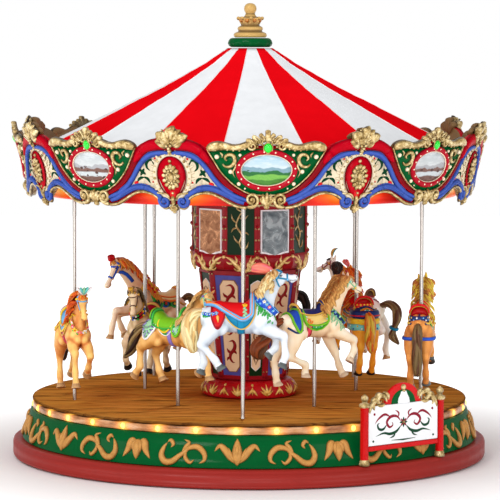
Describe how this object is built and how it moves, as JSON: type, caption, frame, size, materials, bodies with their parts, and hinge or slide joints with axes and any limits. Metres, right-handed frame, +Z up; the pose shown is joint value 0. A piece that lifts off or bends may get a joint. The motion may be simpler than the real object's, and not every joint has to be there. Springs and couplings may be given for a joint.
{
  "type": "tabletop model carousel",
  "caption": "Tabletop model fairground carousel: horses on sliding steel poles ride a turning deck under a striped canopy with carved cornice boards and a mirrored centre column",
  "frame": {"origin": "centre of the underside of the base, on the turning axis", "axes": "+Z up along the turning axis; -Y is the front, the side seen in the picture; +X is to the right of someone facing it"},
  "size_m": [0.2816, 0.2816, 0.2665],
  "materials": {
    "red_paint": "glossy dark red paint on moulded resin",
    "green_paint": "glossy deep green paint with gold relief",
    "amber_strip": "clear amber strip over warm lamps",
    "white_paint": "smooth white paint",
    "oiled_wood": "satin orange-brown wood boards",
    "pole_steel": "plain bright steel rod",
    "column_paint": "violet-blue and dark green panels in red frames",
    "mirror_glass": "small mirrors between painted green panels",
    "stripe_paint": "red and white stripes, smooth satin paint",
    "cornice_paint": "painted relief in red, green, blue, cream and antique gold",
    "gold_paint": "antique gold paint",
    "coat_white": "hand-painted resin with coloured harness",
    "coat_palomino": "hand-painted resin with coloured harness",
    "coat_ivory": "hand-painted resin with coloured harness",
    "coat_bay": "hand-painted resin with coloured harness",
    "coat_chestnut": "hand-painted resin with coloured harness",
    "coat_tan": "hand-painted resin with coloured harness",
    "coat_cream": "hand-painted resin with coloured harness",
    "coat_orange": "hand-painted resin with coloured harness",
    "coat_black": "hand-painted resin with coloured harness",
    "coat_brown": "hand-painted resin with coloured harness"
  },
  "bodies": {
    "base": {"base_pan": "red_paint", "spindle": "pole_steel", "green_fascia": "green_paint", "light_strip": "amber_strip", "sign_post_left": "red_paint", "sign_post_right": "red_paint", "sign_board": "white_paint", "sign_rail": "red_paint", "sign_crest": "green_paint"},
    "turntable": {"deck": "oiled_wood", "column_foot": "red_paint", "column_shaft": "column_paint", "drum_band": "red_paint", "mirror_drum": "mirror_glass", "ceiling": "red_paint", "canopy": "stripe_paint", "cornice_board_1": "cornice_paint", "cornice_board_2": "cornice_paint", "cornice_board_3": "cornice_paint", "cornice_board_4": "cornice_paint", "cornice_board_5": "cornice_paint", "cornice_board_6": "cornice_paint", "cornice_board_7": "cornice_paint", "cornice_board_8": "cornice_paint", "canopy_collar": "green_paint", "finial": "gold_paint"},
    "jumper_white": {"horse_white": "coat_white", "pole_white": "pole_steel"},
    "jumper_palomino": {"horse_palomino": "coat_palomino", "pole_palomino": "pole_steel"},
    "jumper_ivory": {"horse_ivory": "coat_ivory", "pole_ivory": "pole_steel"},
    "jumper_bay": {"horse_bay": "coat_bay", "pole_bay": "pole_steel"},
    "jumper_chestnut": {"horse_chestnut": "coat_chestnut", "pole_chestnut": "pole_steel"},
    "jumper_tan": {"horse_tan": "coat_tan", "pole_tan": "pole_steel"},
    "jumper_cream": {"horse_cream": "coat_cream", "pole_cream": "pole_steel"},
    "jumper_orange": {"horse_orange": "coat_orange", "pole_orange": "pole_steel"},
    "jumper_black": {"horse_black": "coat_black", "pole_black": "pole_steel"},
    "jumper_brown": {"horse_brown": "coat_brown", "pole_brown": "pole_steel"}
  },
  "joints": [
    {"name": "turntable_spin", "type": "hinge", "parent": "base", "child": "turntable", "pos_m": [0, 0, 0.0335], "axis": [0, 0, 1], "continuous": true},
    {"name": "white_rise", "type": "slide", "parent": "turntable", "child": "jumper_white", "axis": [0, 0, 1], "range_m": [-0.0185, 0.0005]},
    {"name": "palomino_rise", "type": "slide", "parent": "turntable", "child": "jumper_palomino", "axis": [0, 0, 1], "range_m": [-0.0065, 0.0125]},
    {"name": "ivory_rise", "type": "slide", "parent": "turntable", "child": "jumper_ivory", "axis": [0, 0, 1], "range_m": [-0.0049, 0.0141]},
    {"name": "bay_rise", "type": "slide", "parent": "turntable", "child": "jumper_bay", "axis": [0, 0, 1], "range_m": [-0.0068, 0.0122]},
    {"name": "chestnut_rise", "type": "slide", "parent": "turntable", "child": "jumper_chestnut", "axis": [0, 0, 1], "range_m": [-0.0017, 0.0173]},
    {"name": "tan_rise", "type": "slide", "parent": "turntable", "child": "jumper_tan", "axis": [0, 0, 1], "range_m": [-0.0046, 0.0144]},
    {"name": "cream_rise", "type": "slide", "parent": "turntable", "child": "jumper_cream", "axis": [0, 0, 1], "range_m": [-0.0104, 0.0086]},
    {"name": "orange_rise", "type": "slide", "parent": "turntable", "child": "jumper_orange", "axis": [0, 0, 1], "range_m": [-0.0067, 0.0123]},
    {"name": "black_rise", "type": "slide", "parent": "turntable", "child": "jumper_black", "axis": [0, 0, 1], "range_m": [-0.0078, 0.0112]},
    {"name": "brown_rise", "type": "slide", "parent": "turntable", "child": "jumper_brown", "axis": [0, 0, 1], "range_m": [-0.0004, 0.0186]}
  ]
}
